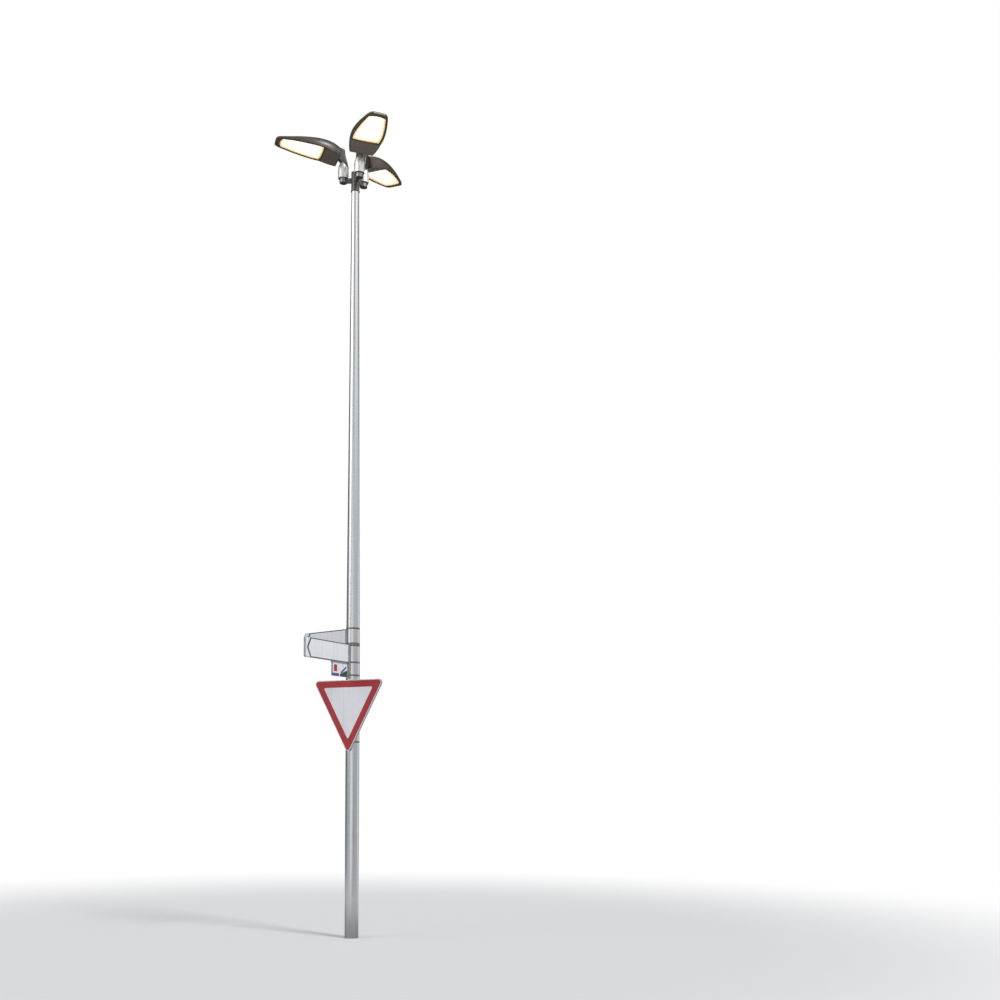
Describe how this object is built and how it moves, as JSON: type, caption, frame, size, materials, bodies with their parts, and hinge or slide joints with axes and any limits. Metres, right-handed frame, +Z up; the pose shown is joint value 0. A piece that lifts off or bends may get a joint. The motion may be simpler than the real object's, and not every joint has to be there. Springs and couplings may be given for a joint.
{
  "type": "street light",
  "caption": "Street light with leaf-shaped LED heads on short arms at the top of a round tapered mast, with a give-way sign and pointing signs clamped to it.",
  "frame": {"origin": "centre of the mast's foot, on the ground", "axes": "+Z up along the mast, +X to the right and +Y away as the picture looks at it"},
  "size_m": [1.2609, 1.6044, 8.3754],
  "materials": {
    "mast_aluminium": "satin anodised",
    "dark_coating": "fine matt powder coat",
    "socket_coating": "satin coat",
    "adapter_aluminium": "smooth silver coat",
    "black_plastic": "matt",
    "black_rubber": "matt",
    "clear_glass": "clear flat",
    "white_board": "white board with clear lenses",
    "sign_aluminium": "mill",
    "stainless_band": "brushed",
    "give_way_sheeting": "retroreflective sheeting, white with a red border",
    "finger_sheeting": "retroreflective sheeting, white",
    "plaque_sheeting": "printed sheeting"
  },
  "bodies": {
    "root": {"mast": "mast_aluminium", "mast_door": "mast_aluminium", "collar": "dark_coating", "collar_cap": "dark_coating", "give_way_face": "give_way_sheeting", "give_way_edge": "sign_aluminium", "give_way_rails": "sign_aluminium", "give_way_clamps": "stainless_band", "upper_finger_faces": "finger_sheeting", "upper_finger_edge": "sign_aluminium", "upper_finger_bracket": "sign_aluminium", "upper_finger_bands": "stainless_band", "lower_finger_faces": "finger_sheeting", "lower_finger_edge": "sign_aluminium", "lower_finger_bracket": "sign_aluminium", "lower_finger_bands": "stainless_band", "plaque_rail": "sign_aluminium", "route_plaques": "plaque_sheeting", "arm_left": "dark_coating", "spigot_left": "socket_coating", "spigot_plug_left": "black_plastic", "arm_front": "dark_coating", "spigot_front": "socket_coating", "spigot_plug_front": "black_plastic", "arm_right": "dark_coating", "spigot_right": "socket_coating", "spigot_plug_right": "black_plastic"},
    "luminaire_left": {"adapter_left": "adapter_aluminium", "adapter_ring_left": "black_rubber", "housing_left": "dark_coating", "gear_cover_left": "dark_coating", "glass_left": "clear_glass", "led_panel_left": "white_board"},
    "luminaire_front": {"adapter_front": "adapter_aluminium", "adapter_ring_front": "black_rubber", "housing_front": "dark_coating", "gear_cover_front": "dark_coating", "glass_front": "clear_glass", "led_panel_front": "white_board"},
    "luminaire_right": {"adapter_right": "adapter_aluminium", "adapter_ring_right": "black_rubber", "housing_right": "dark_coating", "gear_cover_right": "dark_coating", "glass_right": "clear_glass", "led_panel_right": "white_board"}
  },
  "joints": [
    {"name": "swivel_left", "type": "hinge", "parent": "root", "child": "luminaire_left", "pos_m": [-0.12951, 0.01133, 8.0257], "axis": [0, 0, 1], "range_deg": [-55, 5]},
    {"name": "swivel_front", "type": "hinge", "parent": "root", "child": "luminaire_front", "pos_m": [0.05494, -0.11782, 8.0257], "axis": [0, 0, 1], "range_deg": [-27, 33]},
    {"name": "swivel_right", "type": "hinge", "parent": "root", "child": "luminaire_right", "pos_m": [0.07457, 0.10649, 8.0257], "axis": [0, 0, 1], "range_deg": [-42, 18]}
  ]
}
